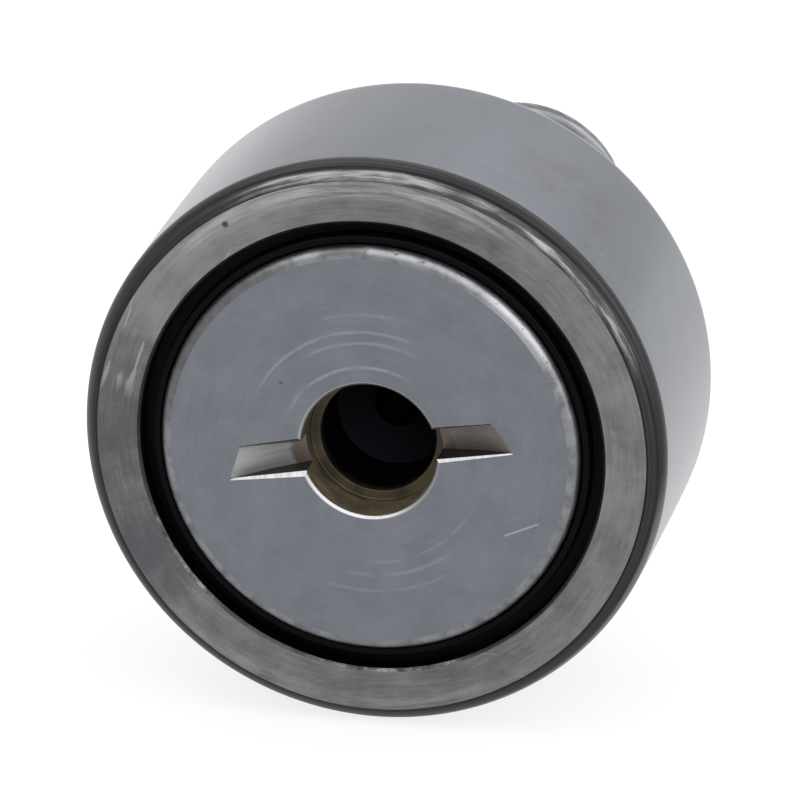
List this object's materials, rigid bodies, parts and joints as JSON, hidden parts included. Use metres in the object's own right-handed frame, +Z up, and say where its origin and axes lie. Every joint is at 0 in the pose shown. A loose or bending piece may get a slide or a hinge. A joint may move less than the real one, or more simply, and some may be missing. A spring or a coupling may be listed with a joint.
{
  "type": "cam follower",
  "caption": "Stud-type cam follower: a crowned steel roller turns on caged needles round a slotted, drilled stud with a plain shank and a threaded end.",
  "frame": {"origin": "on the stud's axis, in the plane of the shoulder that seats against the machine (the outer face of the flange ring)", "axes": "+Y along the stud's axis from the shoulder to the threaded end, so the slotted head faces -Y; +Z up as in the picture, with the shank's cross hole on top; +X to the right when looking at the head"},
  "size_m": [0.03, 0.0401, 0.03],
  "materials": {
    "stud_steel": "turned and hardened, satin grey",
    "flange_steel": "turned, satin",
    "roller_steel": "ground side faces and tread, dark rounded corners",
    "seal_polymer": "moulded, semi-matt black",
    "cage_steel": "stamped, oiled",
    "needle_steel": "ground and polished"
  },
  "bodies": {
    "stud": {"stud": "stud_steel", "flange_ring": "flange_steel"},
    "ring": {"outer_ring": "roller_steel", "front_seal": "seal_polymer", "rear_seal": "seal_polymer"},
    "cage": {"cage": "cage_steel"},
    "needle_01": {"needle_01": "needle_steel"},
    "needle_02": {"needle_02": "needle_steel"},
    "needle_03": {"needle_03": "needle_steel"},
    "needle_04": {"needle_04": "needle_steel"},
    "needle_05": {"needle_05": "needle_steel"},
    "needle_06": {"needle_06": "needle_steel"},
    "needle_07": {"needle_07": "needle_steel"},
    "needle_08": {"needle_08": "needle_steel"},
    "needle_09": {"needle_09": "needle_steel"},
    "needle_10": {"needle_10": "needle_steel"},
    "needle_11": {"needle_11": "needle_steel"},
    "needle_12": {"needle_12": "needle_steel"},
    "needle_13": {"needle_13": "needle_steel"},
    "needle_14": {"needle_14": "needle_steel"},
    "needle_15": {"needle_15": "needle_steel"},
    "needle_16": {"needle_16": "needle_steel"}
  },
  "joints": [
    {"name": "ring_spin", "type": "hinge", "parent": "stud", "child": "ring", "pos_m": [0, -0.0079, 0], "axis": [0, 1, 0], "continuous": true},
    {"name": "cage_spin", "type": "hinge", "parent": "stud", "child": "cage", "pos_m": [0, -0.0079, 0], "axis": [0, 1, 0], "continuous": true},
    {"name": "needle_01_roll", "type": "hinge", "parent": "cage", "child": "needle_01", "pos_m": [0.00875, -0.0079, 0], "axis": [0, 1, 0], "continuous": true},
    {"name": "needle_02_roll", "type": "hinge", "parent": "cage", "child": "needle_02", "pos_m": [0.00808, -0.0079, -0.00335], "axis": [0, 1, 0], "continuous": true},
    {"name": "needle_03_roll", "type": "hinge", "parent": "cage", "child": "needle_03", "pos_m": [0.00619, -0.0079, -0.00619], "axis": [0, 1, 0], "continuous": true},
    {"name": "needle_04_roll", "type": "hinge", "parent": "cage", "child": "needle_04", "pos_m": [0.00335, -0.0079, -0.00808], "axis": [0, 1, 0], "continuous": true},
    {"name": "needle_05_roll", "type": "hinge", "parent": "cage", "child": "needle_05", "pos_m": [0, -0.0079, -0.00875], "axis": [0, 1, 0], "continuous": true},
    {"name": "needle_06_roll", "type": "hinge", "parent": "cage", "child": "needle_06", "pos_m": [-0.00335, -0.0079, -0.00808], "axis": [0, 1, 0], "continuous": true},
    {"name": "needle_07_roll", "type": "hinge", "parent": "cage", "child": "needle_07", "pos_m": [-0.00619, -0.0079, -0.00619], "axis": [0, 1, 0], "continuous": true},
    {"name": "needle_08_roll", "type": "hinge", "parent": "cage", "child": "needle_08", "pos_m": [-0.00808, -0.0079, -0.00335], "axis": [0, 1, 0], "continuous": true},
    {"name": "needle_09_roll", "type": "hinge", "parent": "cage", "child": "needle_09", "pos_m": [-0.00875, -0.0079, 0], "axis": [0, 1, 0], "continuous": true},
    {"name": "needle_10_roll", "type": "hinge", "parent": "cage", "child": "needle_10", "pos_m": [-0.00808, -0.0079, 0.00335], "axis": [0, 1, 0], "continuous": true},
    {"name": "needle_11_roll", "type": "hinge", "parent": "cage", "child": "needle_11", "pos_m": [-0.00619, -0.0079, 0.00619], "axis": [0, 1, 0], "continuous": true},
    {"name": "needle_12_roll", "type": "hinge", "parent": "cage", "child": "needle_12", "pos_m": [-0.00335, -0.0079, 0.00808], "axis": [0, 1, 0], "continuous": true},
    {"name": "needle_13_roll", "type": "hinge", "parent": "cage", "child": "needle_13", "pos_m": [0, -0.0079, 0.00875], "axis": [0, 1, 0], "continuous": true},
    {"name": "needle_14_roll", "type": "hinge", "parent": "cage", "child": "needle_14", "pos_m": [0.00335, -0.0079, 0.00808], "axis": [0, 1, 0], "continuous": true},
    {"name": "needle_15_roll", "type": "hinge", "parent": "cage", "child": "needle_15", "pos_m": [0.00619, -0.0079, 0.00619], "axis": [0, 1, 0], "continuous": true},
    {"name": "needle_16_roll", "type": "hinge", "parent": "cage", "child": "needle_16", "pos_m": [0.00808, -0.0079, 0.00335], "axis": [0, 1, 0], "continuous": true}
  ],
  "couplings": [
    {"joint": "cage_spin", "follows": "ring_spin", "ratio": 0.57143},
    {"joint": "needle_01_roll", "follows": "ring_spin", "ratio": 3.4286},
    {"joint": "needle_02_roll", "follows": "ring_spin", "ratio": 3.4286},
    {"joint": "needle_03_roll", "follows": "ring_spin", "ratio": 3.4286},
    {"joint": "needle_04_roll", "follows": "ring_spin", "ratio": 3.4286},
    {"joint": "needle_05_roll", "follows": "ring_spin", "ratio": 3.4286},
    {"joint": "needle_06_roll", "follows": "ring_spin", "ratio": 3.4286},
    {"joint": "needle_07_roll", "follows": "ring_spin", "ratio": 3.4286},
    {"joint": "needle_08_roll", "follows": "ring_spin", "ratio": 3.4286},
    {"joint": "needle_09_roll", "follows": "ring_spin", "ratio": 3.4286},
    {"joint": "needle_10_roll", "follows": "ring_spin", "ratio": 3.4286},
    {"joint": "needle_11_roll", "follows": "ring_spin", "ratio": 3.4286},
    {"joint": "needle_12_roll", "follows": "ring_spin", "ratio": 3.4286},
    {"joint": "needle_13_roll", "follows": "ring_spin", "ratio": 3.4286},
    {"joint": "needle_14_roll", "follows": "ring_spin", "ratio": 3.4286},
    {"joint": "needle_15_roll", "follows": "ring_spin", "ratio": 3.4286},
    {"joint": "needle_16_roll", "follows": "ring_spin", "ratio": 3.4286}
  ]
}
